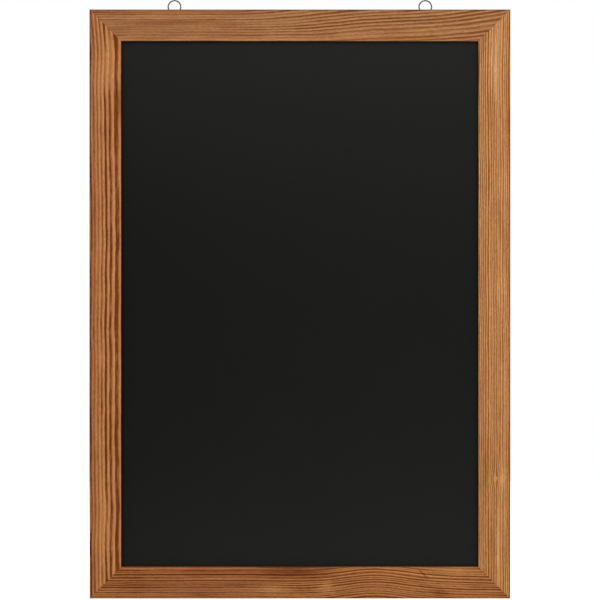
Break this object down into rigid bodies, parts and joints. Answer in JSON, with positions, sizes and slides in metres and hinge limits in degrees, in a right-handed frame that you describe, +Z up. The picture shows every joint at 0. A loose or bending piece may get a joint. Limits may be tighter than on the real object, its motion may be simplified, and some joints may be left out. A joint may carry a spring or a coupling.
{
  "type": "wall chalkboard",
  "caption": "Upright black chalk panel in a flat stained-wood frame with mitred corners, hung by wire rings that swing in folded straps at the back of the top rail.",
  "frame": {"origin": "midway between the two points where the hanging rings bear on their wall hooks, in the plane of the rings", "axes": "+Z up along the stiles, +X to the right as seen from the writing side, +Y from the writing side to the wall; the board faces -Y"},
  "size_m": [0.5, 0.0249, 0.7137],
  "materials": {
    "frame_wood": "satin stained softwood",
    "chalk_surface": "matt black lacquer on hardboard",
    "ring_wire": "smooth bronzed wire",
    "zinc_sheet": "bright zinc plate",
    "screw_steel": "bright zinc plate",
    "nail_steel": "blued spring steel"
  },
  "bodies": {
    "board": {"frame_top_rail": "frame_wood", "frame_bottom_rail": "frame_wood", "frame_left_stile": "frame_wood", "frame_right_stile": "frame_wood", "chalk_panel": "chalk_surface", "corner_nail_top_left_1": "nail_steel", "corner_nail_top_left_2": "nail_steel", "corner_nail_top_right_1": "nail_steel", "corner_nail_top_right_2": "nail_steel", "corner_nail_bottom_left_1": "nail_steel", "corner_nail_bottom_left_2": "nail_steel", "corner_nail_bottom_right_1": "nail_steel", "corner_nail_bottom_right_2": "nail_steel", "framers_point_top_1": "zinc_sheet", "framers_point_top_2": "zinc_sheet", "framers_point_top_3": "zinc_sheet", "framers_point_right_1": "zinc_sheet", "framers_point_right_2": "zinc_sheet", "framers_point_right_3": "zinc_sheet", "framers_point_right_4": "zinc_sheet", "framers_point_bottom_1": "zinc_sheet", "framers_point_bottom_2": "zinc_sheet", "framers_point_bottom_3": "zinc_sheet", "framers_point_left_1": "zinc_sheet", "framers_point_left_2": "zinc_sheet", "framers_point_left_3": "zinc_sheet", "framers_point_left_4": "zinc_sheet", "ring_strap_left": "zinc_sheet", "ring_strap_right": "zinc_sheet", "strap_screw_left_upper": "screw_steel", "strap_screw_left_lower": "screw_steel", "strap_screw_right_upper": "screw_steel", "strap_screw_right_lower": "screw_steel"},
    "ring_left": {"hanging_ring_left": "ring_wire"},
    "ring_right": {"hanging_ring_right": "ring_wire"}
  },
  "joints": [
    {"name": "ring_left_swing", "type": "hinge", "parent": "board", "child": "ring_left", "pos_m": [-0.15, 0, -0.0142], "axis": [-1, 0, 0], "range_deg": [-35, 178]},
    {"name": "ring_right_swing", "type": "hinge", "parent": "board", "child": "ring_right", "pos_m": [0.15, 0, -0.0142], "axis": [-1, 0, 0], "range_deg": [-35, 178]}
  ]
}
